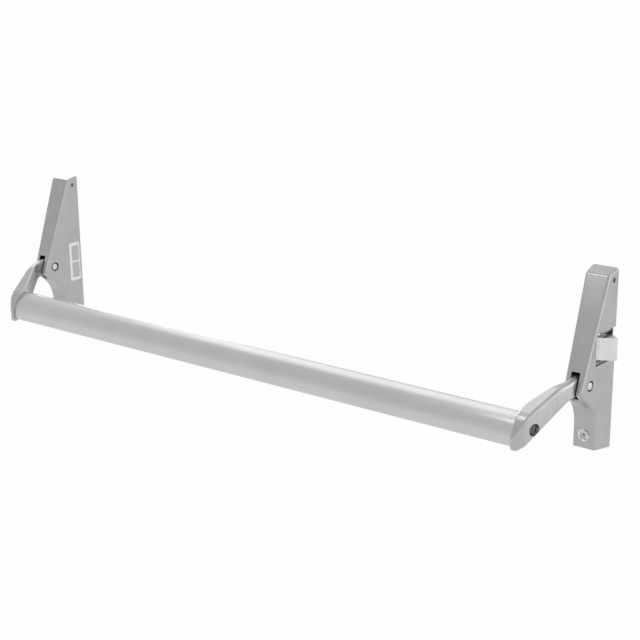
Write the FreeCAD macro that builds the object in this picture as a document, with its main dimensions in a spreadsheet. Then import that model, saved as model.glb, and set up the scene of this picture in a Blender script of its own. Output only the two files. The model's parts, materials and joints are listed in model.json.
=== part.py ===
import FreeCAD, Part
import math
import os
import re
import Sketcher

# Crossbar exit device for an outward opening door, right-hand latch.
# Millimetres. X runs along the bar, the door's face is the plane y = 0 and the device stands
# out from it towards -Y, +Z is up. The origin is the middle of the active head's back, which is
# also the middle of its two door screws. The inactive head stands head_spacing away along -X.

SIZES = {
    # Head castings
    "head_spacing": (867.4, "between the middles of the two heads"),
    "head_height": (216.0, "height of a head at the door"),
    "head_width": (33.4, "width of a head at the door"),
    "nose_width": (22.4, "width of a head at the tip of its nose"),
    "nose_depth": (69.5, "how far the nose stands out from the door"),
    "nose_corner_drop": (26.0, "lower corner of the nose, below the middle"),
    "nose_round": (6.0, "rounding of the nose's lower corner"),
    "throat_drop": (56.0, "foot of the hollow under the nose, below the middle"),
    "throat_round": (46.0, "rounding at the foot of that hollow"),
    "top_depth": (18.6, "depth of the top face"),
    "top_drop": (4.0, "how much the top face falls towards the front"),
    "top_round": (5.0, "rounding between top face and front"),
    "lower_depth": (34.2, "depth of the lower part"),
    "bottom_rise": (6.0, "how much the bottom face rises towards the front"),
    "side_round": (3.2, "rounding between front and sides"),
    "case_wall": (2.6, "wall of the casting"),
    "slot_width": (10.8, "width of the arm's slot in the nose"),
    "slot_top_drop": (2.0, "top of that slot, below the middle"),
    "slot_depth": (52.0, "where that slot ends, from the door"),
    "slot_round": (1.2, "rounding of the slot's upper corners"),
    "pivot_window": (12.6, "diameter of the windows over the pivot pin"),
    "side_screw_depth": (9.2, "side screws, from the door"),
    "side_screw_drop": (12.3, "side screws, below the top of the head"),
    "side_hole": (5.8, "diameter of the side screws' holes"),
    # Latch opening in the active head
    "latch_rise": (21.5, "middle of the latch bolt, above the middle of the head"),
    "window_height": (38.4, "height of the latch opening"),
    "window_drop": (1.3, "middle of that opening, below the middle of the latch bolt"),
    "window_depth": (40.0, "front edge of the latch opening, from the door"),
    # Steel chassis
    "plate_thickness": (2.5, "mounting plate"),
    "plate_gap": (0.4, "between mounting plate and casting"),
    "plate_round": (2.0, "rounding of the corners of the steel plates"),
    "ear_round": (3.0, "rounding of the corners of the ears"),
    "door_hole": (6.6, "diameter of the door screws' holes"),
    "door_hole_margin": (24.0, "door screws, from the ends of the head"),
    "cheek_thickness": (2.0, "cheeks that carry the pivot pin"),
    "cheek_gap": (14.0, "between the two cheeks"),
    "cheek_top_drop": (8.0, "top of the cheeks at the plate, below the middle"),
    "cheek_foot_drop": (44.0, "foot of the cheeks at the plate, below the middle"),
    "cheek_reach": (8.6, "reach of the cheeks round the pivot axis"),
    "cheek_round": (8.0, "rounding of the cheeks there"),
    "ear_thickness": (2.4, "ears that carry the latch pin"),
    "lower_ear_left": (2.6, "inner edge of the lower ear, from the middle"),
    "upper_ear_left": (8.0, "inner edge of the upper ear, from the middle"),
    "ear_right": (12.5, "outer edge of both ears, from the middle"),
    "ear_reach": (37.2, "how far those ears stand out from the door"),
    "short_ear_reach": (20.0, "the same for the ear in the inactive head"),
    "lug_thickness": (2.0, "lugs that take the side screws"),
    "lug_spread": (25.0, "across the two lugs"),
    "lug_height": (13.0, "height of those lugs"),
    "lug_reach": (14.5, "how far those lugs stand out from the door"),
    "stop_thickness": (3.0, "stop under the arm's tail"),
    "stop_width": (8.0, "width of that stop"),
    "stop_shift": (2.0, "middle of that stop, to the latch side of the middle"),
    "stop_reach": (27.0, "how far that stop stands out from the door"),
    # Pivot
    "pivot_depth": (49.4, "pivot axis, from the door"),
    "pivot_drop": (19.3, "pivot axis, below the middle"),
    "pin_diameter": (10.0, "pivot pin"),
    "pin_fit": (0.05, "running clearance of a pin, on the radius"),
    "pin_proud": (0.9, "pin end proud of the casting's side"),
    "pin_dome": (2.6, "height of the pin's domed ends"),
    "washer_diameter": (17.0, "washers between arm and cheeks"),
    "washer_play": (0.15, "side play at each washer face"),
    # Arms
    "arm_thickness": (8.6, "arm where it enters the head"),
    "hub_radius": (10.5, "arm's hub round the pivot"),
    "tail_reach": (24.0, "tip of the arm's tail, from the pivot axis"),
    "tail_half": (3.0, "half the height of that tail"),
    "tail_round": (2.8, "rounding of the tail's end"),
    "arm_neck_depth": (60.0, "where the arm leaves the slot, from the door"),
    "arm_top_drop": (6.2, "top of the arm where it leaves the slot, below the middle"),
    "arm_neck_round": (8.0, "rounding of the arm's top there"),
    "arm_crown_depth": (92.0, "bend in the arm's top edge, from the door"),
    "arm_crown_drop": (12.6, "bend in the arm's top edge, below the middle"),
    "arm_crown_round": (40.0, "rounding of that bend"),
    "arm_lead": (3.4, "arm's foremost line, in front of the bar"),
    "arm_shoulder_back": (11.5, "arm's shoulder, behind that foremost line"),
    "arm_shoulder_drop": (1.0, "arm's shoulder, below the top of the bar"),
    "arm_shoulder_round": (30.0, "rounding of the shoulder"),
    "arm_brow_rise": (16.3, "upper end of the foremost line, above the lowest corner of the bar"),
    "arm_brow_round": (12.0, "rounding there"),
    "arm_tip_drop": (5.5, "where that line and the arm's lower edge meet, below that corner"),
    "arm_tip_round": (6.0, "rounding of the arm's tip"),
    "arm_throat_depth": (77.0, "bend in the arm's lower edge, from the door"),
    "arm_throat_drop": (31.0, "bend in the arm's lower edge, below the middle"),
    "arm_throat_round": (15.0, "rounding of that bend"),
    "arm_bend_depth": (74.0, "where the arm turns towards the bar, from the door"),
    "arm_inner_back": (28.5, "where its inner side is square to the bar, behind the foremost line"),
    "arm_bend_round": (30.0, "rounding of those bends"),
    "arm_taper_back": (9.5, "where the arm starts to thin out, behind the foremost line"),
    "arm_taper_side": (18.0, "outer side there, from the middle of the head"),
    "arm_taper_round": (5.0, "rounding there"),
    "arm_nose_thickness": (4.2, "thickness of the arm at its foremost line"),
    "arm_crest_round": (4.0, "rounding of the arm's outer top edge"),
    "arm_edge_round": (1.6, "rounding of the arm's other long edges"),
    "cut_margin": (5.0, "how far the cuts that shape the arm run past it"),
    # Bar
    "bar_inset": (31.0, "bar's end, from the middle of the head"),
    "bar_front": (147.5, "foremost line of the bar, from the door"),
    "bar_top_drop": (35.9, "crest of the bar, below the middle"),
    "bar_crest_back": (24.3, "that crest, behind the bar's foremost line"),
    "bar_brow_angle": (21.0, "slope of the bar's top in front of the crest, from level"),
    "bar_fall_angle": (30.0, "slope of the bar's top behind the crest, from level"),
    "bar_tip_drop": (74.3, "lowest corner of the bar, below the middle"),
    "bar_back_angle": (30.6, "slope of the bar's underside, from level"),
    "bar_front_round": (26.5, "rounding between the bar's front and top"),
    "bar_crest_round": (7.0, "rounding of the crest"),
    "bar_back_round": (8.0, "rounding between the bar's top and its underside"),
    "bar_tip_round": (4.0, "rounding of the bar's lowest corner"),
    "bar_wall": (2.0, "wall of the bar"),
    "plug_fit": (0.1, "clearance between plug and bar"),
    "plug_length": (24.0, "plug in the bar's end"),
    # Arm screws
    "arm_screw_back": (20.0, "arm screw, behind the front of the bar"),
    "arm_screw_drop": (17.0, "arm screw, below the top of the bar"),
    "arm_screw": (8.0, "thread of the arm screw"),
    "arm_screw_head": (12.6, "head of the arm screw"),
    "arm_screw_head_height": (6.5, "height of that head"),
    "arm_screw_grip": (18.0, "length of the arm screw in the plug"),
    "arm_screw_hex": (6.0, "hexagon in that head, across flats"),
    "counterbore": (14.4, "diameter of the counterbore for that head"),
    "screw_web": (5.0, "arm under that head"),
    "thread_fit": (0.02, "clearance of a screw in its thread, on the radius"),
    # Latch
    "latch_pin_side": (9.4, "latch pin, to the latch side of the middle"),
    "latch_pin_depth": (33.0, "latch pin, from the door"),
    "latch_pin": (5.0, "diameter of the latch pin"),
    "latch_pin_head": (8.0, "diameter of that pin's head"),
    "rivet_height": (1.4, "height of that head"),
    "bolt_height": (26.5, "height of the latch bolt"),
    "knuckle_radius": (4.7, "bolt's knuckle round the pin"),
    "bevel_angle": (27.7, "slope of the bolt's front bevel"),
    "bolt_reach": (24.6, "length of that bevel from the knuckle to the tip"),
    "bolt_shoulder": (2.6, "start of that bevel, from the knuckle"),
    "bolt_heel_radius": (20.1, "bolt's heel, from the pin"),
    "bolt_heel_angle": (63.6, "direction of the heel, seen from above"),
    "bolt_heel_round": (2.0, "rounding of the bolt's heel"),
    "bolt_tip_round": (1.2, "rounding of the bolt's tip"),
    "bolt_play": (0.4, "between the bolt and an ear"),
    "spring_play": (0.15, "play of that spring above and below"),
    "spring_room": (4.3, "room under the bolt for its spring"),
    "dog_reach": (14.5, "bolt's inner finger, from the pin"),
    "dog_angle": (150.0, "direction of that finger, seen from above"),
    "dog_round": (1.6, "radius of the finger's end"),
    "dog_height": (6.0, "height of that finger"),
    # Lifter
    "lift": (8.45, "travel of the lifter"),
    "lift_gap": (0.3, "between tail and lifter at rest"),
    "pad_thickness": (3.0, "lifter's foot over the arm's tail"),
    "pad_width": (13.0, "width of that foot"),
    "pad_front": (30.0, "front of that foot, from the door"),
    "pad_back": (6.0, "back of that foot, from the door"),
    "lifter_thickness": (3.5, "lifter's upright plate"),
    "ramp_gap": (0.8, "between ramp and finger at rest, along Y"),
    "ramp_head": (4.0, "width of the top of the ramp"),
    "ramp_toe": (12.1, "height of the ramp's toe above the foot"),
    "toe_round": (1.0, "rounding of that toe"),
    "ramp_top": (2.2, "top of the ramp above the finger's underside"),
    "leg_front": (16.0, "front of the lifter's leg, from the door"),
    "leg_back": (8.0, "back of the lifter's leg, from the door"),
    "leg_foot_gap": (12.0, "foot of that leg, above the dogging screw"),
    "foot_reach": (28.0, "front of that foot, from the door"),
    "foot_height": (4.0, "height of that foot"),
    # Springs and guide rod
    "guide_side": (1.5, "guide rod, to the latch side of the middle"),
    "guide_depth": (12.0, "guide rod, from the door"),
    "guide_diameter": (4.0, "guide rod"),
    "guide_foot_drop": (20.0, "foot of the guide rod, below the middle"),
    "spring_radius": (3.4, "return spring, to the middle of its wire"),
    "spring_wire": (1.0, "wire of the return spring"),
    "spring_turns": (5.0, "turns of the return spring"),
    "latch_spring_radius": (3.5, "latch spring, to the middle of its wire"),
    "latch_spring_wire": (0.8, "wire of the latch spring"),
    "latch_spring_turns": (3.75, "turns of the latch spring"),
    "latch_spring_leg": (9.0, "length of each leg of the latch spring"),
    # Dogging screw
    "dogging_rise": (22.0, "dogging screw, above the foot of the head"),
    "dogging_head": (9.0, "head of the dogging screw"),
    "dogging_head_height": (2.8, "height of that head"),
    "dogging_bevel": (0.8, "bevel round that head"),
    "dogging_recess": (0.5, "that head below the front of the casting"),
    "dogging_shank": (8.0, "shank of the dogging screw"),
    "dogging_hex": (5.0, "hexagon in that screw, across flats"),
    "dogging_hex_depth": (4.5, "depth of that hexagon"),
    "dogging_bore": (12.6, "counterbore round the head"),
    "dogging_bore_depth": (3.6, "depth of that counterbore"),
    "dogging_rim": (1.1, "chamfer round the counterbore"),
    "dogging_boss": (18.0, "boss behind that counterbore"),
    "dogging_boss_depth": (27.0, "back of that boss, from the door"),
    "cam_play": (0.3, "between cam and boss"),
    "cam_thickness": (3.0, "dogging cam"),
    "cam_width": (9.0, "width of the dogging cam"),
    "cam_reach": (9.3, "reach of the dogging cam"),
    "cam_round": (2.0, "rounding of its corners"),
    "spigot": (5.0, "spigot that the cam is riveted on"),
    "spigot_end": (0.5, "riveted end of that spigot behind the cam"),
    # Side screws
    "side_screw": (4.0, "thread of the side screws"),
    "side_screw_head": (5.4, "head of the side screws"),
    "side_screw_recess": (2.0, "that head below the casting's side"),
    "side_screw_hex": (2.5, "hexagon in that head, across flats"),
    "side_screw_end": (1.5, "end of a side screw beyond its lug"),
    # Data label
    "label_width": (18.6, "width of the label"),
    "label_height": (57.0, "height of the label"),
    "label_thickness": (0.2, "thickness of the label"),
    "label_round": (1.5, "rounding of its corners"),
    "label_depth": (12.6, "middle of the label, from the door"),
    "label_drop": (18.6, "middle of the label, below the middle"),
}

doc = FreeCAD.newDocument("CrossbarExitDevice")
sheet = doc.addObject("Spreadsheet::Sheet", "Size")
for row, (name, (size, note)) in enumerate(SIZES.items(), start=1):
    sheet.set(f"A{row}", note)
    sheet.set(f"B{row}", str(size))
    sheet.setAlias(f"B{row}", name)
doc.recompute()
reader = doc.addObject("App::FeaturePython", "Reader")
nodes = {}


def formula(text):
    """Turns the names of sizes in a formula into references to the sheet."""
    return re.sub("[a-z_]+", lambda word: "Size." + word[0] if word[0] in SIZES else word[0], text)


def number(text):
    """The value of a formula, for what is worked out here rather than in the document."""
    result = reader.evalExpression(formula(text))
    return float(getattr(result, "Value", result))


def bind(thing, **properties):
    """Ties properties of a document object to formulas."""
    for name, text in properties.items():
        thing.setExpression(name.replace("__", "."), formula(text))


def place(thing, x="0", y="0", z="0"):
    """Ties the place of an object to formulas."""
    bind(thing, Placement__Base__x=x, Placement__Base__y=y, Placement__Base__z=z)


def keep(node, thing):
    """Names an object as one node of the part."""
    thing.Label = node
    nodes[node] = thing
    return thing


def new_body(name):
    return doc.addObject("PartDesign::Body", name)


def new_sketch(body, plane, away="0"):
    """A sketch on one of the body's own origin planes, moved along that plane's normal."""
    sketch = body.newObject("Sketcher::SketchObject", body.Name + "Sketch")
    support = next(item for item in body.Origin.OriginFeatures if item.Role == plane)
    sketch.AttachmentSupport = [(support, "")]
    sketch.MapMode = "FlatFace"
    bind(sketch, AttachmentOffset__Base__z=away)
    return sketch


def pin_down(sketch, shape, point, x, y):
    """Holds one point of a sketch at a place given by two formulas."""
    for kind, text in (("DistanceX", x), ("DistanceY", y)):
        index = sketch.addConstraint(Sketcher.Constraint(kind, -1, 1, shape, point, number(text)))
        sketch.setExpression(f"Constraints[{index}]", formula(text))


def outline(sketch, corners):
    """A closed outline of straight lines; a corner with a third value is rounded to that radius."""
    count = len(corners)
    spots = [FreeCAD.Vector(number(corner[0]), number(corner[1]), 0) for corner in corners]
    ways = [(spots[(i + 1) % count] - spots[i]).normalize() for i in range(count)]
    cuts = []
    for i, corner in enumerate(corners):
        turn = ways[i - 1].getAngle(ways[i])
        cuts.append(number(corner[2]) * math.tan(turn / 2) if len(corner) > 2 else 0)
    lines = []
    for i in range(count):
        start = spots[i] + ways[i] * cuts[i]
        end = spots[(i + 1) % count] - ways[i] * cuts[(i + 1) % count]
        lines.append(sketch.addGeometry(Part.LineSegment(start, end), False))
    for i, corner in enumerate(corners):
        before, after = lines[i - 1], lines[i]
        if len(corner) < 3:
            sketch.addConstraint(Sketcher.Constraint("Coincident", before, 2, after, 1))
            pin_down(sketch, after, 1, corner[0], corner[1])
            continue
        radius = number(corner[2])
        enter = spots[i] - ways[i - 1] * cuts[i]
        leave = spots[i] + ways[i] * cuts[i]
        left = ways[i - 1].cross(ways[i]).z > 0
        side = FreeCAD.Vector(-ways[i - 1].y, ways[i - 1].x, 0) * (1 if left else -1)
        centre = enter + side * radius
        first, last = (enter, leave) if left else (leave, enter)
        angles = [math.atan2(spot.y - centre.y, spot.x - centre.x) for spot in (first, last)]
        circle = Part.Circle(centre, FreeCAD.Vector(0, 0, 1), radius)
        arc = sketch.addGeometry(Part.ArcOfCircle(circle, angles[0], angles[1]), False)
        corner_point = sketch.addGeometry(Part.Point(spots[i]), True)
        pin_down(sketch, corner_point, 1, corner[0], corner[1])
        sketch.addConstraint(Sketcher.Constraint("PointOnObject", corner_point, 1, before))
        sketch.addConstraint(Sketcher.Constraint("PointOnObject", corner_point, 1, after))
        sketch.addConstraint(Sketcher.Constraint("Tangent", before, 2, arc, 1 if left else 2))
        sketch.addConstraint(Sketcher.Constraint("Tangent", arc, 2 if left else 1, after, 1))
        index = sketch.addConstraint(Sketcher.Constraint("Radius", arc, radius))
        sketch.setExpression(f"Constraints[{index}]", formula(corner[2]))


def circle(sketch, x, y, radius):
    """A circle with its centre and radius tied to formulas."""
    centre = FreeCAD.Vector(number(x), number(y), 0)
    ring = Part.Circle(centre, FreeCAD.Vector(0, 0, 1), number(radius))
    shape = sketch.addGeometry(ring, False)
    pin_down(sketch, shape, 3, x, y)
    index = sketch.addConstraint(Sketcher.Constraint("Radius", shape, number(radius)))
    sketch.setExpression(f"Constraints[{index}]", formula(radius))


def rectangle(sketch, left, right, low, high):
    outline(sketch, [(left, low), (right, low), (right, high), (left, high)])


def feature(body, kind, sketch, length="", middle=False, back=False):
    """A pad or pocket from a sketch: so long, or right through where no length is given."""
    item = body.newObject("PartDesign::" + kind, body.Name + kind)
    item.Profile = sketch
    item.Midplane = middle
    item.Reversed = back
    if length:
        bind(item, Length=length)
    else:
        item.Type = "ThroughAll"
    doc.recompute()
    return item


def hexagon(sketch, x, y, flats):
    """A hexagon for a key, so wide across its flats, with two flats upright."""
    reach = f"({flats}) / sqrt(3)"
    turns = range(30, 390, 60)
    outline(sketch, [(f"{x} + {reach} * cos({turn})", f"{y} + {reach} * sin({turn})") for turn in turns])


def round_edges(body, radius, chosen, kind="Fillet"):
    """Rounds, or bevels, the edges whose middle point passes a test."""
    doc.recompute()
    edges = []
    for index, edge in enumerate(body.Shape.Edges, start=1):
        middle = edge.valueAt((edge.FirstParameter + edge.LastParameter) / 2)
        if chosen(middle):
            edges.append(f"Edge{index}")
    item = body.newObject("PartDesign::" + kind, body.Name + kind)
    item.Base = (body.Tip if body.Tip != item else item.BaseFeature, edges)
    bind(item, **{"Radius" if kind == "Fillet" else "Size": radius})
    doc.recompute()
    return item


def mirrored(thing, x):
    """The mirror image of an object, left and right exchanged about a plane at x."""
    image = doc.addObject("Part::Mirroring", thing.Name + "Image")
    image.Source = thing
    image.Normal = FreeCAD.Vector(1, 0, 0)
    bind(image, Base__x=x)
    return image


def group(node, things):
    """Separate solids that are one node."""
    bundle = doc.addObject("Part::Compound", node)
    bundle.Links = things
    return keep(node, bundle)


def side(depth):
    """Distance from the middle of a head to its drafted side, so far from the door."""
    return f"(head_width / 2 - (head_width - nose_width) / 2 * ({depth}) / nose_depth)"


MIDDLE = "-head_spacing / 2"
SIDE_SCREW = "(head_height / 2 - side_screw_drop)"
DOGGING = "(-head_height / 2 + dogging_rise)"
LEG_FOOT = "(-head_height / 2 + dogging_rise + leg_foot_gap)"
ARM_FRONT = "(bar_front + arm_lead)"
ARM_SCREW = ("(-bar_front + arm_screw_back)", "(-bar_top_drop - arm_screw_drop)")
LOWER_EAR = "latch_rise - bolt_height / 2 - spring_room"
LATCH_FOOT = "latch_rise - bolt_height / 2"
TAIL_TOP = "(-pivot_drop + tail_half)"
PAD_FOOT = "(-pivot_drop + tail_half + lift_gap)"
PAD_TOP = "(-pivot_drop + tail_half + lift_gap + pad_thickness)"


def casting(node, active):
    """The cast cover of one head: drafted sides, hollow from the door side, a slot for the arm."""
    body = new_body(node)
    profile = new_sketch(body, "YZ_Plane")
    outline(profile, [
        ("0", "-head_height / 2"),
        ("-lower_depth", "-head_height / 2 + bottom_rise"),
        ("-lower_depth", "-throat_drop", "throat_round"),
        ("-nose_depth", "-nose_corner_drop", "nose_round"),
        ("-top_depth", "head_height / 2 - top_drop"),
        ("0", "head_height / 2"),
    ])
    feature(body, "Pad", profile, "head_width", middle=True)
    draft = new_sketch(body, "XY_Plane")
    for sign in ("", "-"):
        outline(draft, [
            (f"{sign}head_width / 2", "0"),
            (f"{sign}nose_width / 2", "-nose_depth"),
            (f"{sign}head_width / 2", "-nose_depth"),
        ])
    feature(body, "Pocket", draft, middle=True)
    back = [f"Face{i}" for i, face in enumerate(body.Shape.Faces, start=1) if face.BoundBox.YMin > -0.01]
    shell = body.newObject("PartDesign::Thickness", node + "Shell")
    shell.Base = (body.Tip if body.Tip != shell else shell.BaseFeature, back)
    shell.Reversed = True
    bind(shell, Value="case_wall")
    doc.recompute()
    wide, taper = number("head_width / 2"), number("(head_width - nose_width) / 2 / nose_depth")
    top, deep = number("head_height / 2 - top_drop"), number("top_depth")

    def runs_down_the_side(spot):
        outside = abs(abs(spot.x) - wide - taper * spot.y) < 0.05
        return outside and spot.y < -deep - 1 and abs(spot.z) < top - 0.5

    def is_top_front(spot):
        return abs(spot.x) < 1 and abs(spot.y + deep) < 0.1 and abs(spot.z - top) < 0.1

    round_edges(body, "top_round", is_top_front)
    round_edges(body, "side_round", runs_down_the_side)
    slot = new_sketch(body, "XZ_Plane", "slot_depth")
    outline(slot, [
        ("-slot_width / 2", "-throat_drop"),
        ("slot_width / 2", "-throat_drop"),
        ("slot_width / 2", "-slot_top_drop", "slot_round"),
        ("-slot_width / 2", "-slot_top_drop", "slot_round"),
    ])
    feature(body, "Pocket", slot, back=True)
    windows = new_sketch(body, "YZ_Plane")
    circle(windows, "-pivot_depth", "-pivot_drop", "pivot_window / 2")
    circle(windows, "-side_screw_depth", SIDE_SCREW, "side_hole / 2")
    feature(body, "Pocket", windows, middle=True)
    if active:
        latch_window(body)
        dogging_seat(body)
    return keep(node, body)


def latch_window(body):
    """The opening in the side of the active head for the latch bolt."""
    window = new_sketch(body, "YZ_Plane", "slot_width / 2")
    middle = "latch_rise - window_drop"
    rectangle(window, "-window_depth", "0", f"{middle} - window_height / 2", f"{middle} + window_height / 2")
    feature(body, "Pocket", window, back=True)


def dogging_seat(body):
    """The boss and the stepped hole for the dogging screw."""
    boss = new_sketch(body, "XZ_Plane", "dogging_boss_depth")
    circle(boss, "0", DOGGING, "dogging_boss / 2")
    feature(body, "Pad", boss, "lower_depth - dogging_boss_depth - case_wall / 2")
    recess = new_sketch(body, "XZ_Plane", "lower_depth - dogging_bore_depth")
    circle(recess, "0", DOGGING, "dogging_bore / 2")
    feature(body, "Pocket", recess, back=True)
    bore = new_sketch(body, "XZ_Plane")
    circle(bore, "0", DOGGING, "dogging_shank / 2 + pin_fit")
    feature(body, "Pocket", bore, middle=True)
    front, level, wide = number("lower_depth"), number(DOGGING), number("dogging_bore / 2")

    def is_rim(spot):
        across = math.hypot(spot.x, spot.z - level)
        return abs(spot.y + front) < 0.1 and abs(across - wide) < 0.1

    round_edges(body, "dogging_rim", is_rim, "Chamfer")


def chassis(node, active):
    """The steel mounting plate with its cheeks, lugs, ears and stop, folded and welded."""
    body = new_body(node)
    half = "(head_height / 2 - case_wall - 2 * plate_gap)"
    wide = "(head_width / 2 - case_wall - plate_gap)"
    plate = new_sketch(body, "XZ_Plane")
    outline(plate, [(f"-{wide}", f"-{half}", "plate_round"), (wide, f"-{half}", "plate_round"),
                    (wide, half, "plate_round"), (f"-{wide}", half, "plate_round")])
    feature(body, "Pad", plate, "plate_thickness")
    cheeks = new_sketch(body, "YZ_Plane")
    front = "-pivot_depth - cheek_reach"
    outline(cheeks, [
        ("-plate_thickness / 2", "-cheek_foot_drop"),
        (front, "-pivot_drop - cheek_reach", "cheek_round"),
        (front, "-pivot_drop + cheek_reach", "cheek_round"),
        ("-plate_thickness / 2", "-cheek_top_drop"),
    ])
    feature(body, "Pad", cheeks, "cheek_gap + 2 * cheek_thickness", middle=True)
    between = new_sketch(body, "XY_Plane")
    rectangle(between, "-cheek_gap / 2", "cheek_gap / 2", "-nose_depth", "-plate_thickness")
    feature(body, "Pocket", between, middle=True)
    pivot = new_sketch(body, "YZ_Plane")
    circle(pivot, "-pivot_depth", "-pivot_drop", "pin_diameter / 2 + thread_fit")
    feature(body, "Pocket", pivot, middle=True)
    for start in ("lug_spread / 2 - lug_thickness", "-lug_spread / 2"):
        lug = new_sketch(body, "YZ_Plane", start)
        outline(lug, [
            ("-plate_thickness / 2", f"{SIDE_SCREW} - lug_height / 2"),
            ("-lug_reach", f"{SIDE_SCREW} - lug_height / 2", "plate_round"),
            ("-lug_reach", f"{SIDE_SCREW} + lug_height / 2", "plate_round"),
            ("-plate_thickness / 2", f"{SIDE_SCREW} + lug_height / 2"),
        ])
        feature(body, "Pad", lug, "lug_thickness")
    threads = new_sketch(body, "YZ_Plane")
    circle(threads, "-side_screw_depth", SIDE_SCREW, "side_screw / 2 + thread_fit")
    feature(body, "Pocket", threads, middle=True)
    stop = new_sketch(body, "XY_Plane", "-pivot_drop - tail_half - lift_gap - stop_thickness")
    rectangle(stop, "stop_shift - stop_width / 2", "stop_shift + stop_width / 2",
              "-stop_reach", "-plate_thickness / 2")
    feature(body, "Pad", stop, "stop_thickness")
    ears(body, active)
    holes = new_sketch(body, "XZ_Plane")
    circle(holes, "0", "head_height / 2 - door_hole_margin", "door_hole / 2")
    circle(holes, "0", "-head_height / 2 + door_hole_margin", "door_hole / 2")
    feature(body, "Pocket", holes, middle=True)
    return keep(node, body)


def ears(body, active):
    """The ears over the return spring; those of the active head also hold the latch pin."""
    low = f"{LOWER_EAR} - ear_thickness"
    ear = new_sketch(body, "XY_Plane", low)
    if active:
        outline(ear, [("-lower_ear_left", "-plate_thickness / 2"), ("-lower_ear_left", "-ear_reach", "ear_round"),
                      ("ear_right", "-ear_reach", "ear_round"), ("ear_right", "-plate_thickness / 2")])
    else:
        rectangle(ear, "-pad_width / 2", "pad_width / 2", "-short_ear_reach", "-plate_thickness / 2")
    feature(body, "Pad", ear, "ear_thickness")
    if active:
        upper = new_sketch(body, "XY_Plane", "latch_rise + bolt_height / 2 + bolt_play")
        outline(upper, [("-upper_ear_left", "-plate_thickness / 2"), ("-upper_ear_left", "-ear_reach", "ear_round"),
                        ("ear_right", "-ear_reach", "ear_round"), ("ear_right", "-plate_thickness / 2")])
        feature(body, "Pad", upper, "ear_thickness")
        pin = new_sketch(body, "XY_Plane", low)
        circle(pin, "latch_pin_side", "-latch_pin_depth", "latch_pin / 2 + thread_fit")
        feature(body, "Pocket", pin, back=True)
    rod = new_sketch(body, "XY_Plane", low)
    circle(rod, "guide_side", "-guide_depth", "guide_diameter / 2 + thread_fit")
    feature(body, "Pocket", rod, "ear_thickness", back=True)


def pivot_pin(node, x):
    """The pin that the arm turns on, with rounded ends."""
    body = new_body(node)
    round_bar = new_sketch(body, "YZ_Plane")
    circle(round_bar, "-pivot_depth", "-pivot_drop", "pin_diameter / 2")
    feature(body, "Pad", round_bar, f"2 * ({side('pivot_depth')} + pin_proud)", middle=True)
    round_edges(body, "pin_dome", lambda spot: abs(spot.x) > 5)
    place(body, x)
    return keep(node, body)


def pivot_washers(node, x):
    """A washer at each side of the arm."""
    body = new_body(node + "One")
    ring = new_sketch(body, "YZ_Plane", "arm_thickness / 2 + washer_play")
    circle(ring, "-pivot_depth", "-pivot_drop", "washer_diameter / 2")
    circle(ring, "-pivot_depth", "-pivot_drop", "pin_diameter / 2 + pin_fit")
    feature(body, "Pad", ring, "(cheek_gap - arm_thickness) / 2 - 2 * washer_play")
    place(body, x)
    return group(node, [body, mirrored(body, x)])


def guide_rod(node, x):
    """The rod that keeps the return spring and the lifter's foot in line."""
    body = new_body(node)
    rod = new_sketch(body, "XY_Plane", "-guide_foot_drop")
    circle(rod, "guide_side", "-guide_depth", "guide_diameter / 2")
    feature(body, "Pad", rod, f"{LOWER_EAR} + guide_foot_drop")
    place(body, x)
    return keep(node, body)


def coil(body, radius, wire, pitch, turns):
    """A coil of round wire about the body's own Z axis, starting on its -X side."""
    section = new_sketch(body, "XZ_Plane")
    circle(section, f"-{radius}", f"{wire} / 2", f"{wire} / 2")
    helix = body.newObject("PartDesign::AdditiveHelix", body.Name + "Coil")
    helix.Profile = section
    helix.ReferenceAxis = (section, ["V_Axis"])
    helix.Mode = "pitch-turns-angle"
    helix.Angle = 0
    helix.Growth = 0
    bind(helix, Pitch=pitch, Turns=turns)
    doc.recompute()


def return_spring(node, x):
    """The compression spring between an ear and the foot that rests over the arm's tail."""
    body = new_body(node)
    room = f"({LOWER_EAR} - ear_thickness - {PAD_TOP} - spring_wire)"
    coil(body, "spring_radius", "spring_wire", f"{room} / spring_turns", "spring_turns")
    place(body, f"{x} + guide_side", "-guide_depth", PAD_TOP)
    return keep(node, body)


def latch_spring():
    """The torsion spring round the latch pin that holds the bolt out."""
    body = new_body("latch_spring")
    pitch = f"(({LATCH_FOOT} - ({LOWER_EAR}) - 2 * spring_play - latch_spring_wire) / latch_spring_turns)"
    coil(body, "latch_spring_radius", "latch_spring_wire", pitch, "latch_spring_turns")
    fixed = new_sketch(body, "XZ_Plane")
    circle(fixed, "-latch_spring_radius", "latch_spring_wire / 2", "latch_spring_wire / 2")
    feature(body, "Pad", fixed, "latch_spring_leg", back=True)
    moving = new_sketch(body, "YZ_Plane", "latch_spring_wire / 4")
    circle(moving, "latch_spring_radius", f"latch_spring_wire / 2 + {pitch} * latch_spring_turns",
           "latch_spring_wire / 2")
    feature(body, "Pad", moving, "latch_spring_leg", back=True)
    place(body, "latch_pin_side", "-latch_pin_depth", f"{LOWER_EAR} + spring_play")
    return keep("latch_spring", body)


def latch_pin():
    """The headed pin that the latch bolt turns on."""
    body = new_body("latch_pin")
    top = "latch_rise + bolt_height / 2 + bolt_play + ear_thickness"
    foot = f"{LOWER_EAR} - ear_thickness"
    shank = new_sketch(body, "XY_Plane", foot)
    circle(shank, "latch_pin_side", "-latch_pin_depth", "latch_pin / 2")
    feature(body, "Pad", shank, f"{top} - ({foot})")
    head = new_sketch(body, "XY_Plane", top)
    circle(head, "latch_pin_side", "-latch_pin_depth", "latch_pin_head / 2")
    feature(body, "Pad", head, "rivet_height")
    return keep("latch_pin", body)


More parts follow.
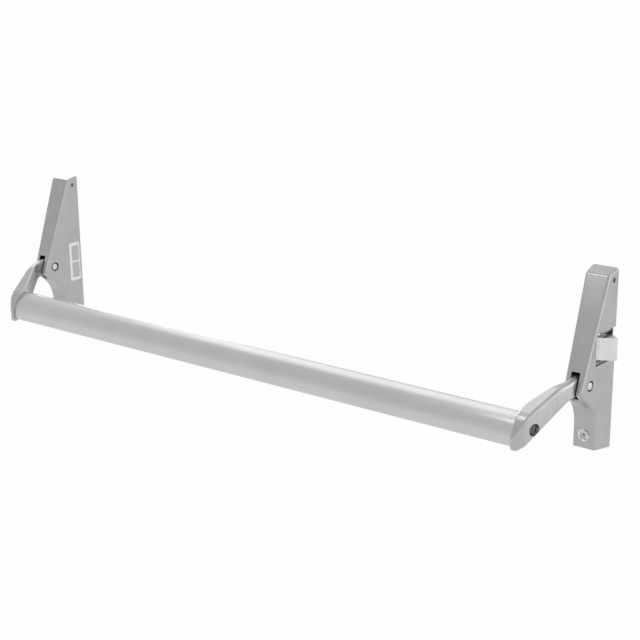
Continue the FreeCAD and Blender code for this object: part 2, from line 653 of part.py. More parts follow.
def latch_bolt():
    """The swinging latch bolt: knuckle, bevelled body and the finger that the lifter pushes."""
    body = new_body("latch_bolt")
    knuckle = new_sketch(body, "XY_Plane")
    circle(knuckle, "0", "0", "knuckle_radius")
    feature(body, "Pad", knuckle, "bolt_height")
    wedge = new_sketch(body, "XY_Plane")
    root = ("knuckle_radius * sin(bevel_angle)", "-knuckle_radius * cos(bevel_angle)")
    back = "(bolt_heel_angle * 1 deg + acos(knuckle_radius / bolt_heel_radius))"
    outline(wedge, [
        (f"{root[0]} + bolt_shoulder * cos(bevel_angle)", f"{root[1]} + bolt_shoulder * sin(bevel_angle)"),
        (f"{root[0]} + bolt_reach * cos(bevel_angle)", f"{root[1]} + bolt_reach * sin(bevel_angle)",
         "bolt_tip_round"),
        ("bolt_heel_radius * cos(bolt_heel_angle)", "bolt_heel_radius * sin(bolt_heel_angle)", "bolt_heel_round"),
        (f"knuckle_radius * cos{back}", f"knuckle_radius * sin{back}"),
        ("0", "0"),
    ])
    feature(body, "Pad", wedge, "bolt_height")
    finger = new_sketch(body, "XY_Plane")
    along = ("dog_reach * cos(dog_angle)", "dog_reach * sin(dog_angle)")
    across = ("dog_round * sin(dog_angle)", "dog_round * cos(dog_angle)")
    outline(finger, [
        (across[0], f"-{across[1]}"),
        (f"{along[0]} + {across[0]}", f"{along[1]} - {across[1]}"),
        (f"{along[0]} - {across[0]}", f"{along[1]} + {across[1]}"),
        (f"-{across[0]}", across[1]),
    ])
    feature(body, "Pad", finger, "dog_height")
    nose = new_sketch(body, "XY_Plane")
    circle(nose, along[0], along[1], "dog_round")
    feature(body, "Pad", nose, "dog_height")
    bore = new_sketch(body, "XY_Plane")
    circle(bore, "0", "0", "latch_pin / 2 + pin_fit")
    feature(body, "Pocket", bore, middle=True)
    place(body, "latch_pin_side", "-latch_pin_depth", LATCH_FOOT)
    return keep("latch_bolt", body)


def lifter():
    """The plate that the arm's tail lifts: its ramp draws the latch bolt in."""
    body = new_body("lifter")
    nose_back = "(latch_pin_depth - dog_reach * sin(dog_angle) - dog_round - ramp_gap)"
    slope = "(2 * dog_reach * sin(dog_angle) / lift)"
    crest = f"({LATCH_FOOT} + ramp_top)"
    toe = f"({PAD_TOP} + ramp_toe)"
    plate = new_sketch(body, "YZ_Plane", "-pad_width / 2")
    outline(plate, [
        ("-leg_back", LEG_FOOT),
        ("-leg_back", PAD_TOP),
        (f"-{nose_back} + ramp_top * {slope} + ramp_head", PAD_TOP, "plate_round"),
        (f"-{nose_back} + ramp_top * {slope} + ramp_head", crest),
        (f"-{nose_back} + ramp_top * {slope}", crest),
        (f"-{nose_back} - ({LATCH_FOOT} - {toe}) * {slope}", toe, "toe_round"),
        ("-pad_front", PAD_TOP, "plate_round"),
        ("-pad_front", PAD_FOOT),
        ("-leg_front", PAD_FOOT, "plate_round"),
        ("-leg_front", f"{LEG_FOOT} + foot_height", "toe_round"),
        ("-foot_reach", f"{LEG_FOOT} + foot_height"),
        ("-foot_reach", LEG_FOOT),
    ])
    feature(body, "Pad", plate, "lifter_thickness")
    foot(body)
    return keep("lifter", body)


def foot(body):
    """The flat foot over the arm's tail, with the guide rod's hole."""
    pad = new_sketch(body, "XY_Plane", PAD_FOOT)
    rectangle(pad, "-pad_width / 2", "pad_width / 2", "-pad_front", "-pad_back")
    feature(body, "Pad", pad, "pad_thickness")
    hole = new_sketch(body, "XY_Plane", PAD_FOOT)
    circle(hole, "guide_side", "-guide_depth", "guide_diameter / 2 + pin_fit")
    feature(body, "Pocket", hole, "pad_thickness", back=True)


def plunger():
    """The spring-loaded foot in the inactive head, which only brings the bar back."""
    body = new_body("plunger")
    foot(body)
    place(body, "-head_spacing")
    return keep("plunger", body)


def dogging_screw():
    """The screw at the front of the active head that holds the bar down."""
    body = new_body("dogging_screw")
    back = "lower_depth - dogging_recess - dogging_head_height"
    head = new_sketch(body, "XZ_Plane", back)
    circle(head, "0", DOGGING, "dogging_head / 2")
    feature(body, "Pad", head, "dogging_head_height")
    shank = new_sketch(body, "XZ_Plane", "dogging_boss_depth - cam_play")
    circle(shank, "0", DOGGING, "dogging_shank / 2")
    feature(body, "Pad", shank, f"{back} - (dogging_boss_depth - cam_play)")
    spigot = new_sketch(body, "XZ_Plane", "dogging_boss_depth - cam_play - cam_thickness - spigot_end")
    circle(spigot, "0", DOGGING, "spigot / 2")
    feature(body, "Pad", spigot, "cam_thickness + spigot_end")
    key = new_sketch(body, "XZ_Plane", "lower_depth - dogging_recess - dogging_hex_depth")
    hexagon(key, "0", DOGGING, "dogging_hex")
    feature(body, "Pocket", key, back=True)
    front = number("lower_depth - dogging_recess")
    wide = number("dogging_head / 2")
    level = number(DOGGING)
    round_edges(body, "dogging_bevel", lambda spot: abs(spot.y + front) < 0.05
                and abs(math.hypot(spot.x, spot.z - level) - wide) < 0.05, "Chamfer")
    return keep("dogging_screw", body)


def dogging_cam():
    """The cam riveted behind the dogging screw."""
    body = new_body("dogging_cam")
    level = "dogging_boss_depth - cam_play - cam_thickness"
    lobe = new_sketch(body, "XZ_Plane", level)
    outline(lobe, [("0", f"{DOGGING} - cam_width / 2"),
                   ("cam_reach", f"{DOGGING} - cam_width / 2", "cam_round"),
                   ("cam_reach", f"{DOGGING} + cam_width / 2", "cam_round"),
                   ("0", f"{DOGGING} + cam_width / 2")])
    feature(body, "Pad", lobe, "cam_thickness")
    hub = new_sketch(body, "XZ_Plane", level)
    circle(hub, "0", DOGGING, "cam_width / 2")
    feature(body, "Pad", hub, "cam_thickness")
    hole = new_sketch(body, "XZ_Plane")
    circle(hole, "0", DOGGING, "spigot / 2 + thread_fit")
    feature(body, "Pocket", hole, middle=True)
    return keep("dogging_cam", body)


def bar_section(sketch, inset):
    """The bar's section, or the same outline drawn a little inside it."""
    brow, fall, back = "bar_brow_angle", "bar_fall_angle", "bar_back_angle"
    front = f"(-bar_front + ({inset}))"
    crest = (f"(-bar_front + bar_crest_back"
             f" + ({inset}) * (1 / cos({brow}) - 1 / cos({fall})) / (tan({brow}) + tan({fall})))")
    heel = (f"(-bar_front + (bar_tip_drop - bar_top_drop + bar_crest_back * tan({fall})"
            f" - ({inset}) * (1 / cos({fall}) + 1 / cos({back}))) / (tan({fall}) + tan({back})))")

    def on_brow(y):
        return f"-bar_top_drop + ({y} + bar_front - bar_crest_back) * tan({brow}) - ({inset}) / cos({brow})"

    def on_underside(y):
        return f"-bar_tip_drop + ({y} + bar_front) * tan({back}) + ({inset}) / cos({back})"

    outline(sketch, [
        (front, on_brow(front), f"bar_front_round - ({inset})"),
        (front, on_underside(front), f"bar_tip_round - ({inset})"),
        (heel, on_underside(heel), f"bar_back_round - ({inset})"),
        (crest, on_brow(crest), f"bar_crest_round - ({inset})"),
    ])


def push_bar():
    """The hollow bar that is pushed."""
    body = new_body("push_bar")
    outer = new_sketch(body, "YZ_Plane")
    bar_section(outer, "0")
    feature(body, "Pad", outer, "head_spacing - 2 * bar_inset")
    inner = new_sketch(body, "YZ_Plane")
    bar_section(inner, "bar_wall")
    feature(body, "Pocket", inner, middle=True)
    place(body, "-head_spacing + bar_inset")
    return keep("push_bar", body)


def bar_plug(node, x):
    """The plug in an end of the bar that the arm screw goes into."""
    body = new_body(node)
    section = new_sketch(body, "YZ_Plane")
    bar_section(section, "bar_wall + plug_fit")
    feature(body, "Pad", section, "plug_length")
    thread = new_sketch(body, "YZ_Plane")
    circle(thread, *ARM_SCREW, "arm_screw / 2 + thread_fit")
    feature(body, "Pocket", thread, middle=True)
    place(body, x)
    return keep(node, body)


def arm():
    """The cast arm: hub and tail inside the head, and a cranked wing that carries the bar."""
    body = new_body("active_arm")
    profile = new_sketch(body, "YZ_Plane", "-bar_inset")
    tail = "(-pivot_depth + tail_reach + tail_half)"
    outline(profile, [
        (tail, "-pivot_drop - tail_half", "tail_round"),
        (tail, TAIL_TOP, "tail_round"),
        ("-pivot_depth", TAIL_TOP),
        ("-pivot_depth", "-pivot_drop + hub_radius"),
        ("-arm_neck_depth", "-arm_top_drop", "arm_neck_round"),
        ("-arm_crown_depth", "-arm_crown_drop", "arm_crown_round"),
        (f"-{ARM_FRONT} + arm_shoulder_back", "-bar_top_drop - arm_shoulder_drop", "arm_shoulder_round"),
        (f"-{ARM_FRONT}", "-bar_tip_drop + arm_brow_rise", "arm_brow_round"),
        (f"-{ARM_FRONT}", "-bar_tip_drop - arm_tip_drop", "arm_tip_round"),
        ("-arm_throat_depth", "-arm_throat_drop", "arm_throat_round"),
        ("-pivot_depth", "-pivot_drop - hub_radius"),
        ("-pivot_depth", "-pivot_drop - tail_half"),
    ])
    feature(body, "Pad", profile, "bar_inset + arm_thickness / 2")
    hub = new_sketch(body, "YZ_Plane")
    circle(hub, "-pivot_depth", "-pivot_drop", "hub_radius")
    feature(body, "Pad", hub, "arm_thickness", middle=True)
    outer, inner = "arm_thickness / 2", "-arm_thickness / 2"
    plan = new_sketch(body, "XY_Plane")
    outline(plan, [
        (outer, "0"),
        (outer, "-arm_bend_depth", "arm_bend_round"),
        ("-arm_taper_side", f"-{ARM_FRONT} + arm_taper_back", "arm_taper_round"),
        ("-bar_inset + arm_nose_thickness", f"-{ARM_FRONT}"),
        ("-bar_inset + arm_nose_thickness", f"-{ARM_FRONT} - cut_margin"),
        ("bar_inset", f"-{ARM_FRONT} - cut_margin"),
        ("bar_inset", "0"),
    ])
    outline(plan, [
        (inner, "0"),
        (inner, "-arm_bend_depth", "arm_bend_round"),
        ("-bar_inset", f"-{ARM_FRONT} + arm_inner_back", "arm_bend_round"),
        ("-bar_inset", f"-{ARM_FRONT} - cut_margin"),
        ("-bar_inset - cut_margin", f"-{ARM_FRONT} - cut_margin"),
        ("-bar_inset - cut_margin", "0"),
    ])
    feature(body, "Pocket", plan, middle=True)
    round_arm(body)
    bore = new_sketch(body, "YZ_Plane")
    circle(bore, "-pivot_depth", "-pivot_drop", "pin_diameter / 2 + pin_fit")
    feature(body, "Pocket", bore, middle=True)
    recess = new_sketch(body, "YZ_Plane", "-bar_inset + screw_web")
    circle(recess, *ARM_SCREW, "counterbore / 2")
    feature(body, "Pocket", recess, back=True)
    hole = new_sketch(body, "YZ_Plane")
    circle(hole, *ARM_SCREW, "arm_screw / 2 + pin_fit")
    feature(body, "Pocket", hole, middle=True)
    return keep("active_arm", body)


def round_arm(body):
    """Rounds the arm's long edges, most of all the one at the outer side of its top."""
    half, bend, front = number("arm_thickness / 2"), number("arm_bend_depth"), number(ARM_FRONT)
    start = front - number("arm_taper_back")
    lean = (half + number("arm_taper_side")) / (start - bend)
    inset, square = number("bar_inset"), front - number("arm_inner_back")
    inner_lean = (inset - half) / (square - bend)
    crown, crown_drop = number("arm_crown_depth"), number("arm_crown_drop")
    throat, throat_drop = number("arm_throat_depth"), number("arm_throat_drop")
    fall = (number("bar_tip_drop + arm_tip_drop") - throat_drop) / (front - throat)

    def at_outer_side(spot):
        return abs(spot.x - half + lean * max(0, -spot.y - bend)) < 1.2

    def at_inner_side(spot):
        return abs(spot.x + min(inset, half + inner_lean * max(0, -spot.y - bend))) < 1.4

    def on_top(spot):
        return -spot.y > 52 and spot.z > -crown_drop - max(0, -spot.y - crown) * 0.75 - 4

    def at_foot(spot):
        return -spot.y > bend and spot.z < -throat_drop - fall * (-spot.y - throat) + 1.5

    round_edges(body, "arm_crest_round",
                lambda spot: on_top(spot) and at_outer_side(spot) and -spot.y < start)
    round_edges(body, "arm_edge_round",
                lambda spot: (on_top(spot) and at_inner_side(spot) and -spot.y < start)
                or (at_foot(spot) and (at_outer_side(spot) or at_inner_side(spot)) and -spot.y < start))


def arm_screws():
    """A socket screw through each arm into the plug."""
    body = new_body("armScrew")
    seat = "-bar_inset + screw_web"
    shank = new_sketch(body, "YZ_Plane", "-bar_inset - arm_screw_grip")
    circle(shank, *ARM_SCREW, "arm_screw / 2")
    feature(body, "Pad", shank, "arm_screw_grip + screw_web")
    head = new_sketch(body, "YZ_Plane", seat)
    circle(head, *ARM_SCREW, "arm_screw_head / 2")
    feature(body, "Pad", head, "arm_screw_head_height")
    key = new_sketch(body, "YZ_Plane", f"{seat} + arm_screw_head_height / 2")
    hexagon(key, *ARM_SCREW, "arm_screw_hex")
    feature(body, "Pocket", key, back=True)
    return group("arm_screws", [body, mirrored(body, MIDDLE)])


def cover_screws():
    """The four side screws that hold the castings to the lugs."""
    body = new_body("coverScrew")
    lug = "lug_spread / 2"
    shank = new_sketch(body, "YZ_Plane", f"{lug} - lug_thickness - side_screw_end")
    circle(shank, "-side_screw_depth", SIDE_SCREW, "side_screw / 2")
    feature(body, "Pad", shank, "lug_thickness + side_screw_end")
    head = new_sketch(body, "YZ_Plane", lug)
    circle(head, "-side_screw_depth", SIDE_SCREW, "side_screw_head / 2")
    feature(body, "Pad", head, f"{side('side_screw_depth')} - side_screw_recess - {lug}")
    key = new_sketch(body, "YZ_Plane", lug)
    hexagon(key, "-side_screw_depth", SIDE_SCREW, "side_screw_hex")
    feature(body, "Pocket", key, back=True)
    pair = doc.addObject("Part::Compound", "coverScrewPair")
    pair.Links = [body, mirrored(body, "0")]
    return group("cover_screws", [pair, mirrored(pair, MIDDLE)])


def data_label():
    """A thin label on the inner side of the inactive head."""
    body = new_body("data_label")
    area = new_sketch(body, "YZ_Plane")
    left, right = "-label_depth - label_width / 2", "-label_depth + label_width / 2"
    low, high = "-label_drop - label_height / 2", "-label_drop + label_height / 2"
    outline(area, [(left, low, "label_round"), (right, low, "label_round"),
                   (right, high, "label_round"), (left, high, "label_round")])
    feature(body, "Pad", area, "label_thickness")
    place(body, "-head_spacing + head_width / 2")
    bind(body, Placement__Rotation__Angle="-atan((head_width - nose_width) / 2 / nose_depth)")
    return keep("data_label", body)


casting("active_case", True)
chassis("active_chassis", True)
inactive_case = casting("inactive_case", False)
place(inactive_case, "-head_spacing")
inactive_chassis = chassis("inactive_chassis", False)
place(inactive_chassis, "-head_spacing")
for head, position in (("active", "0"), ("inactive", "-head_spacing")):
    pivot_pin(head + "_pivot_pin", position)
    pivot_washers(head + "_pivot_washers", position)
    guide_rod(head + "_guide_rod", position)
    return_spring(head + "_return_spring", position)
latch_pin()
latch_spring()
latch_bolt()
lifter()
plunger()
dogging_screw()
dogging_cam()
push_bar()
bar_plug("active_bar_plug", "-bar_inset - plug_length")
bar_plug("inactive_bar_plug", "-head_spacing + bar_inset")
keep("inactive_arm", mirrored(arm(), MIDDLE))
arm_screws()
cover_screws()
data_label()
doc.recompute()

for item in doc.Objects:
    if "Invalid" in item.State or "Error" in item.State:
        raise RuntimeError(f"{item.Name} did not build")
os.makedirs("parts", exist_ok=True)
for node, thing in nodes.items():
    if thing.Shape.isNull() or not thing.Shape.isValid():
        raise RuntimeError(f"{node} is not a sound shape")
    thing.Shape.exportStep(f"parts/{node}.step")
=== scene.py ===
import json
import math

import bmesh
import bpy
from mathutils import Matrix, Vector


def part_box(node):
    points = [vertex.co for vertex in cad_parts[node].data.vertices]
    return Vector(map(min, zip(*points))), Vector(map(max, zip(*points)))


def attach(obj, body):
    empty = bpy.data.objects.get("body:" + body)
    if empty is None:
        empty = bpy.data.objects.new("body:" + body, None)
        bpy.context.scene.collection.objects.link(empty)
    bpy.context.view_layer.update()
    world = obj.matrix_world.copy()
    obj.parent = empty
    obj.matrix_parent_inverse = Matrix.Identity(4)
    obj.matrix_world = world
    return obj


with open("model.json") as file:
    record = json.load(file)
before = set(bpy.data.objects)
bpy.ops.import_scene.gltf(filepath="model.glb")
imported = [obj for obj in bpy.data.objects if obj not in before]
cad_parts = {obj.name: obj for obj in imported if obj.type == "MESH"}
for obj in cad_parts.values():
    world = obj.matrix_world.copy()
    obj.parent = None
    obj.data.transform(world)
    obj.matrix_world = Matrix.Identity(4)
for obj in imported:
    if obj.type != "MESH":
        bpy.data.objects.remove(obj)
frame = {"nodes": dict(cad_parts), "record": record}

# Crossbar exit device: two aluminium heads for a door leaf, a push bar on two cranked arms between
# them and a side latch in the right-hand head. Metres, in the same frame as the solids.

MM = 0.001
WHITE = "#FFFFFF"
# Nearly all values of a noise texture lie between these two.
NOISE_LOW, NOISE_HIGH = 0.3, 0.7
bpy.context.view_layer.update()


def hex_colour(text):
    """An sRGB hex value as a linear colour."""
    parts = [int(text[i:i + 2], 16) / 255 for i in (1, 3, 5)]
    return [c / 12.92 if c <= 0.04045 else ((c + 0.055) / 1.055) ** 2.4 for c in parts] + [1.0]


def add(tree, kind, inputs=None, **settings):
    """Adds a shader node. An input that is given a socket is linked, any other value is set."""
    node = tree.nodes.new(kind)
    for name, value in settings.items():
        setattr(node, name, value)
    for name, value in (inputs or {}).items():
        if isinstance(value, bpy.types.NodeSocket):
            tree.links.new(value, node.inputs[name])
        else:
            node.inputs[name].default_value = value
    return node


def new_material(name):
    material = bpy.data.materials.new(name)
    material.use_nodes = True
    material.node_tree.nodes.clear()
    return material, material.node_tree


def finish_surface(tree, **inputs):
    """Closes a material with its surface. An underscore in a name stands for a space."""
    sockets = {key.replace("_", " "): value for key, value in inputs.items()}
    surface = add(tree, "ShaderNodeBsdfPrincipled", sockets)
    add(tree, "ShaderNodeOutputMaterial", {"Surface": surface.outputs["BSDF"]})


def stretch_noise(tree, noise, low, high):
    """Stretches the middle of a noise to run from low to high."""
    stretched = add(tree, "ShaderNodeMapRange", {
        "Value": noise, "From Min": NOISE_LOW, "From Max": NOISE_HIGH, "To Min": low, "To Max": high})
    return stretched.outputs["Result"]


def two_tone(tree, share, dark, light):
    """Goes from the dark colour to the light one as share goes from nought to one."""
    tone = add(tree, "ShaderNodeMix", {0: share, 6: hex_colour(dark), 7: hex_colour(light)}, data_type="RGBA")
    return tone.outputs[2]


def grain_space(tree, size_mm):
    """The place on the piece, counted in units of size_mm along each axis."""
    where = add(tree, "ShaderNodeTexCoord")
    scaled = add(tree, "ShaderNodeMapping", {
        "Vector": where.outputs["Object"], "Scale": [1 / (s * MM) for s in size_mm]})
    return scaled.outputs["Vector"]


def near_bore(tree, x, z, radius_mm):
    """One inside a bore along Y and on its chamfer, and nought away from it."""
    where = add(tree, "ShaderNodeTexCoord")
    aside = add(tree, "ShaderNodeVectorMath", {0: where.outputs["Object"], 1: (x, 0, z)},
                operation="SUBTRACT")
    flat = add(tree, "ShaderNodeVectorMath", {0: aside.outputs["Vector"], 1: (1, 0, 1)},
               operation="MULTIPLY")
    away = add(tree, "ShaderNodeVectorMath", {0: flat.outputs["Vector"]}, operation="LENGTH")
    inside = add(tree, "ShaderNodeMath", {0: away.outputs["Value"], 1: radius_mm * MM},
                 operation="LESS_THAN")
    return inside.outputs[0]


def linished_metal(name, dark, light, roughness, stroke_mm, blotch_mm, lift_mm, bore=None):
    """Metal finished with an abrasive belt: fine strokes one way, over a slow unevenness of tone.
    Real strokes are about a tenth of a millimetre wide and are drawn coarser, so that they show.
    Where a bore is given, its wall and chamfer are painted near-white: bare cut metal, and a painted
    highlight for the light the chamfer catches."""
    roughness_swing, bore_highlight_colour = 0.04, "#F0F0EE"
    material, tree = new_material(name)
    strokes = add(tree, "ShaderNodeTexNoise", {
        "Vector": grain_space(tree, stroke_mm), "Scale": 1.0, "Detail": 3.0, "Roughness": 0.6})
    blotches = add(tree, "ShaderNodeTexNoise", {
        "Vector": grain_space(tree, [blotch_mm] * 3), "Scale": 1.0, "Detail": 2.0})
    both = add(tree, "ShaderNodeMath", {0: strokes.outputs["Fac"], 1: blotches.outputs["Fac"]},
               operation="ADD")
    mean = add(tree, "ShaderNodeMath", {0: both.outputs[0], 1: 0.5}, operation="MULTIPLY")
    bump = add(tree, "ShaderNodeBump", {
        "Height": strokes.outputs["Fac"], "Distance": lift_mm * MM, "Strength": 1.0})
    tone = two_tone(tree, stretch_noise(tree, mean.outputs[0], 0.0, 1.0), dark, light)
    # Inside the bore's radius the colour is painted near-white: bare cut metal and a painted highlight.
    if bore:
        cut = add(tree, "ShaderNodeMix", {0: near_bore(tree, *bore), 6: tone, 7: hex_colour(bore_highlight_colour)},
                  data_type="RGBA")
        tone = cut.outputs[2]
    finish_surface(
        tree,
        Base_Color=tone,
        Metallic=1.0,
        Roughness=stretch_noise(
            tree, strokes.outputs["Fac"], roughness - roughness_swing, roughness + roughness_swing),
        Normal=bump.outputs["Normal"],
    )
    return material


def turned_steel(name, dark, light, roughness):
    """Bright turned or cold-headed steel: clean and even, with only a faint mottle."""
    mottle_mm, lift_mm, smoother, rougher = 1.2, 0.01, 0.03, 0.05
    material, tree = new_material(name)
    mottle = add(tree, "ShaderNodeTexNoise", {
        "Vector": grain_space(tree, [mottle_mm] * 3), "Scale": 1.0, "Detail": 4.0})
    bump = add(tree, "ShaderNodeBump", {
        "Height": mottle.outputs["Fac"], "Distance": lift_mm * MM, "Strength": 1.0})
    finish_surface(
        tree,
        Base_Color=two_tone(tree, stretch_noise(tree, mottle.outputs["Fac"], 0.0, 1.0), dark, light),
        Metallic=1.0,
        Roughness=stretch_noise(tree, mottle.outputs["Fac"], roughness - smoother, roughness + rougher),
        Normal=bump.outputs["Normal"],
    )
    return material


def zinc_plate(name, dark, light):
    """Dull zinc plate: a fine crystal mottle under a slow haze."""
    spangle_mm, haze_mm, smoothest, roughest = 1.6, 9.0, 0.42, 0.52
    material, tree = new_material(name)
    spangle = add(tree, "ShaderNodeTexVoronoi", {
        "Vector": grain_space(tree, [spangle_mm] * 3), "Scale": 1.0})
    haze = add(tree, "ShaderNodeTexNoise", {
        "Vector": grain_space(tree, [haze_mm] * 3), "Scale": 1.0, "Detail": 3.0})
    tone = add(tree, "ShaderNodeMath", {0: spangle.outputs["Distance"], 1: haze.outputs["Fac"]},
               operation="MULTIPLY")
    finish_surface(
        tree,
        Base_Color=two_tone(tree, tone.outputs[0], dark, light),
        Metallic=1.0,
        Roughness=stretch_noise(tree, haze.outputs["Fac"], smoothest, roughest),
    )
    return material


def printed_film(name, colour, grain):
    """Matt polyester film: nearly flat, with a slight grain and no metal in it."""
    grain_mm, lift_mm, roughness = 0.8, 0.01, 0.45
    material, tree = new_material(name)
    texture = add(tree, "ShaderNodeTexNoise", {
        "Vector": grain_space(tree, [grain_mm] * 3), "Scale": 1.0, "Detail": 2.0})
    bump = add(tree, "ShaderNodeBump", {
        "Height": texture.outputs["Fac"], "Distance": lift_mm * MM, "Strength": 1.0})
    finish_surface(
        tree,
        Base_Color=two_tone(tree, stretch_noise(tree, texture.outputs["Fac"], 0.0, 1.0), colour, grain),
        Roughness=roughness,
        Normal=bump.outputs["Normal"],
    )
    return material


CASTING = dict(dark="#B0B0AF", light="#BEBEBD", roughness=0.34,
               stroke_mm=(0.7, 0.7, 24.0), blotch_mm=22.0, lift_mm=0.004)
# Satin cast aluminium, linished up and down: pale grey, with a soft sheen that follows the strokes.
cast_aluminium = linished_metal("satin cast aluminium", **CASTING)

# The same in the head with the dogging screw. Its counterbore is cut after the linishing, and its
# chamfer catches the light: round the screw's hole the colour is painted near-white, bare cut metal
# with a painted highlight.
DOGGING_CHAMFER_RADIUS_MM = 7.45
dogging_low, dogging_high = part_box("dogging_screw")
dogging_x, dogging_z = ((dogging_low[axis] + dogging_high[axis]) / 2 for axis in (0, 2))
bored_aluminium_with_painted_highlight = linished_metal(
    "satin cast aluminium with a cut bore", **CASTING,
    bore=(dogging_x, dogging_z, DOGGING_CHAMFER_RADIUS_MM))

# The arms are polished further than the heads, so their shoulders throw a sharp highlight.
arm_aluminium = linished_metal(
    "polished cast aluminium", dark="#B9B9B8", light="#C6C6C5", roughness=0.29,
    stroke_mm=(1.2, 18.0, 18.0), blotch_mm=22.0, lift_mm=0.0008)

# Drawn and anodised tube: an even satin grey with long draw lines.
drawn_aluminium = linished_metal(
    "anodised drawn aluminium", dark="#CDCECE", light="#D6D7D7", roughness=0.32,
    stroke_mm=(60.0, 0.9, 0.9), blotch_mm=60.0, lift_mm=0.002)

# The latch bolt is ground across its faces: nearly white, with sharp reflections.
bolt_steel = linished_metal(
    "ground steel", dark="#DADAD8", light="#EEEEEC", roughness=0.22,
    stroke_mm=(12.0, 0.6, 0.6), blotch_mm=9.0, lift_mm=0.002)

# Pins and rods are turned and left bright: clean highlights on their domed ends.
bright_steel = turned_steel("bright turned steel", "#CFCFCF", "#E6E6E6", 0.25)
# Screw heads are cold-formed and a little duller than the pins.
screw_steel = turned_steel("cold-headed screw steel", "#B0B0B0", "#CCCCCC", 0.30)
# Spring wire keeps the warm dark grey of its drawing and tempering.
spring_steel = turned_steel("plain spring wire", "#7C7A76", "#A09E9A", 0.36)
# Plated sheet steel has no highlights, only a cool clouded grey.
plated_steel = zinc_plate("dull zinc plate", "#8F9194", "#C4C6C8")
# The label is a white film, clearly lighter and flatter than the metal round it.
label_film = printed_film("white label film", "#F4F4F2", "#FBFBF9")
# Its print is a pale grey ink that lies flat on the film.
label_grey = printed_film("grey printed field", "#BDBDBB", "#C8C8C6")

FINISHES = {
    "cast_aluminium": cast_aluminium,
    "arm_aluminium": arm_aluminium,
    "drawn_aluminium": drawn_aluminium,
    "bolt_steel": bolt_steel,
    "bright_steel": bright_steel,
    "screw_steel": screw_steel,
    "spring_steel": spring_steel,
    "plated_steel": plated_steel,
    "label_film": label_film,
}


def dress_solids():
    """Gives each solid the finish of its slot, and the head with the dogging screw its cut bore with a
    painted highlight.
    """
    for subpart in frame["record"]["subparts"]:
        finish = FINISHES[subpart["material_slot"]]
        if subpart["node"] == "active_case":
            finish = bored_aluminium_with_painted_highlight
        slots = frame["nodes"][subpart["node"]].data.materials
        slots.clear()
        slots.append(finish)


def printed_field(name, middle, lean, across, upright, thickness):
    """A thin printed field with rounded corners, upright and leaning with the head's side."""
    corner_round, round_profile, rim_angle = 0.7 * MM, 0.5, 1.2
    mesh = bpy.data.meshes.new(name)
    shape = bmesh.new()
    bmesh.ops.create_cube(shape, size=1.0, matrix=Matrix.Diagonal((thickness, across, upright, 1)))
    corners = [edge for edge in shape.edges
               if abs(edge.verts[0].co.x - edge.verts[1].co.x) > thickness / 2]
    bmesh.ops.bevel(shape, geom=corners, offset=corner_round, segments=4, affect="EDGES",
                    profile=round_profile)
    rims = [edge for edge in shape.edges
            if len(edge.link_faces) == 2 and edge.calc_face_angle() > rim_angle]
    bmesh.ops.bevel(shape, geom=rims, offset=thickness / 4, segments=1, affect="EDGES",
                    profile=round_profile)
    shape.transform(Matrix.Translation(middle) @ Matrix.Rotation(lean, 4, "Z"))
    shape.to_mesh(mesh)
    shape.free()
    field = bpy.data.objects.new(name, mesh)
    bpy.context.scene.collection.objects.link(field)
    mesh.materials.append(label_grey)
    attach(field, "heads")


def label_fields():
    """Two pale grey printed fields on the label, with its white margin round them."""
    low, high = (Vector(corner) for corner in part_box("data_label"))
    film, ink = 0.2 * MM, 0.06 * MM
    front, rear, end, gap = 4.2 * MM, 1.5 * MM, 4.4 * MM, 2.6 * MM
    lean = -math.atan2(high.x - low.x - film, high.y - low.y)
    outward = Vector((math.cos(lean), math.sin(lean), 0))
    rearward = Vector((-math.sin(lean), math.cos(lean), 0))
    wide, tall = high.y - low.y, high.z - low.z
    upright = (tall - 2 * end - gap) / 2
    for name, sign in (("label_upper_field", 1), ("label_lower_field", -1)):
        middle = (low + high) / 2 + outward * (film + ink) / 2 + rearward * (front - rear) / 2
        middle.z += sign * (upright + gap) / 2
        printed_field(name, middle, lean, wide - front - rear, upright, ink)


def softbox(name, eye, target, along, size, power):
    """A soft box that faces a target, with its first size along the given direction."""
    lamp = bpy.data.lights.new(name, "AREA")
    lamp.shape = "RECTANGLE"
    lamp.size, lamp.size_y = size
    lamp.energy = power
    box = bpy.data.objects.new(name, lamp)
    bpy.context.scene.collection.objects.link(box)
    box.visible_camera = False
    back = (Vector(eye) - Vector(target)).normalized()
    across = (Vector(along) - back * back.dot(Vector(along))).normalized()
    turn = Matrix((across, back.cross(across), back)).transposed().to_4x4()
    box.matrix_world = Matrix.Translation(Vector(eye)) @ turn


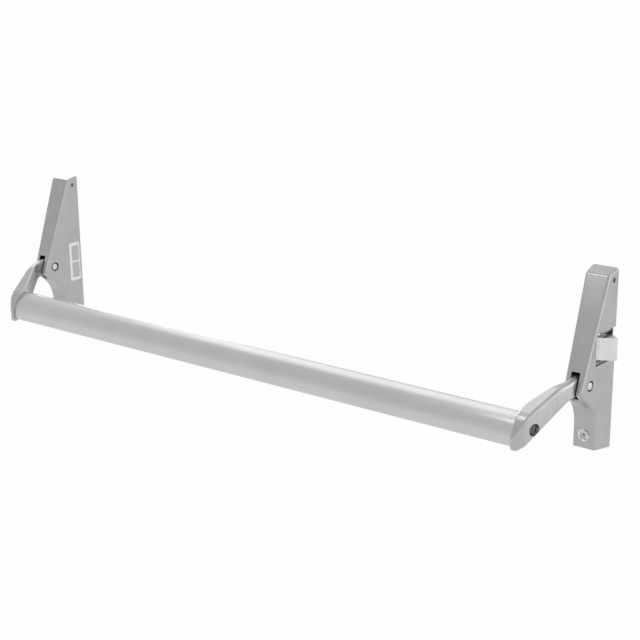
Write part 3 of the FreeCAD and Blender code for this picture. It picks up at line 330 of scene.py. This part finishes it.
def studio():
    """A pale studio, white to the eye: a soft surround, a little brighter towards the door and
    below than in front and above, and four soft boxes."""
    plain_level, gain_towards = 0.95, (0.05, 0.20, -0.25)
    world = bpy.data.worlds.new("studio")
    bpy.context.scene.world = world
    world.use_nodes = True
    tree = world.node_tree
    tree.nodes.clear()
    path = add(tree, "ShaderNodeLightPath")
    way = add(tree, "ShaderNodeTexCoord")
    gain = add(tree, "ShaderNodeVectorMath", {0: way.outputs["Generated"], 1: gain_towards},
               operation="DOT_PRODUCT")
    level = add(tree, "ShaderNodeMath", {0: gain.outputs["Value"], 1: plain_level}, operation="ADD")
    surround = add(tree, "ShaderNodeBackground", {
        "Color": hex_colour(WHITE), "Strength": level.outputs[0]})
    white = add(tree, "ShaderNodeBackground", {"Color": hex_colour(WHITE), "Strength": 1.0})
    seen = add(tree, "ShaderNodeMixShader", {
        0: path.outputs["Is Camera Ray"], 1: surround.outputs[0], 2: white.outputs[0]})
    add(tree, "ShaderNodeOutputWorld", {"Surface": seen.outputs[0]})

    along_bar, to_door = (1, 0, 0), (0, 1, 0)
    softbox("box overhead", eye=(-1.0, 0.3, 1.2), target=(-0.35, 0.0, 0.0),
            along=along_bar, size=(1.2, 0.5), power=1.5)
    softbox("box behind on the left", eye=(-1.66, 0.81, 0.36), target=(-0.81, 0.0, 0.11),
            along=to_door, size=(0.5, 0.5), power=4.0)
    softbox("box on the right", eye=(0.77, 0.30, 0.15), target=(0.0, -0.1, 0.0),
            along=to_door, size=(0.35, 0.9), power=1.1)
    softbox("small box in front", eye=(-0.147, -0.27, 0.30), target=(0.0, -0.03, 0.1),
            along=along_bar, size=(0.12, 0.04), power=0.09)


def pale_floor():
    """A pale floor far below the device, white to the eye but for the device's soft shadow."""
    level, reach = -0.75, 40.0
    paint_grey, white_in_metal, white_to_the_eye = "#E0E0E0", 0.68, 0.97
    mesh = bpy.data.meshes.new("floor")
    corners = [(x, y, level) for x, y in ((-reach, -reach), (reach, -reach), (reach, reach), (-reach, reach))]
    mesh.from_pydata(corners, [], [(0, 1, 2, 3)])
    floor = bpy.data.objects.new("floor", mesh)
    bpy.context.scene.collection.objects.link(floor)
    material, tree = new_material("pale floor")
    path = add(tree, "ShaderNodeLightPath")
    paint = add(tree, "ShaderNodeBsdfDiffuse", {"Color": hex_colour(paint_grey)})
    white = add(tree, "ShaderNodeEmission", {"Color": hex_colour(WHITE), "Strength": 1.0})
    mirrored = add(tree, "ShaderNodeMath", {0: path.outputs["Is Glossy Ray"], 1: white_in_metal},
                   operation="MULTIPLY")
    looked_at = add(tree, "ShaderNodeMath", {0: path.outputs["Is Camera Ray"], 1: white_to_the_eye},
                    operation="MULTIPLY")
    share = add(tree, "ShaderNodeMath", {0: mirrored.outputs[0], 1: looked_at.outputs[0]},
                operation="ADD")
    seen = add(tree, "ShaderNodeMixShader", {
        0: share.outputs[0], 1: paint.outputs[0], 2: white.outputs[0]})
    add(tree, "ShaderNodeOutputMaterial", {"Surface": seen.outputs[0]})
    mesh.materials.append(material)


def camera():
    """Looks from the front right and a little above, from just under two metres."""
    target = Vector((-405.64, 0.0, -31.0)) * MM
    azimuth, rise, roll = (math.radians(angle) for angle in (37.33, 17.61, -0.56))
    distance, lens = 1934.07 * MM, 82.71
    back = Vector((math.sin(azimuth) * math.cos(rise), -math.cos(azimuth) * math.cos(rise), math.sin(rise)))
    level = Vector((math.cos(azimuth), math.sin(azimuth), 0))
    upright = back.cross(level)
    right = math.cos(roll) * level + math.sin(roll) * upright
    up = math.cos(roll) * upright - math.sin(roll) * level
    data = bpy.data.cameras.new("camera")
    data.lens = lens
    view = bpy.data.objects.new("camera", data)
    bpy.context.scene.collection.objects.link(view)
    turn = Matrix((right, up, back)).transposed().to_4x4()
    view.matrix_world = Matrix.Translation(target + back * distance) @ turn
    bpy.context.scene.camera = view


bpy.context.scene.view_settings.view_transform = "Standard"
camera()
studio()
pale_floor()
dress_solids()
label_fields()
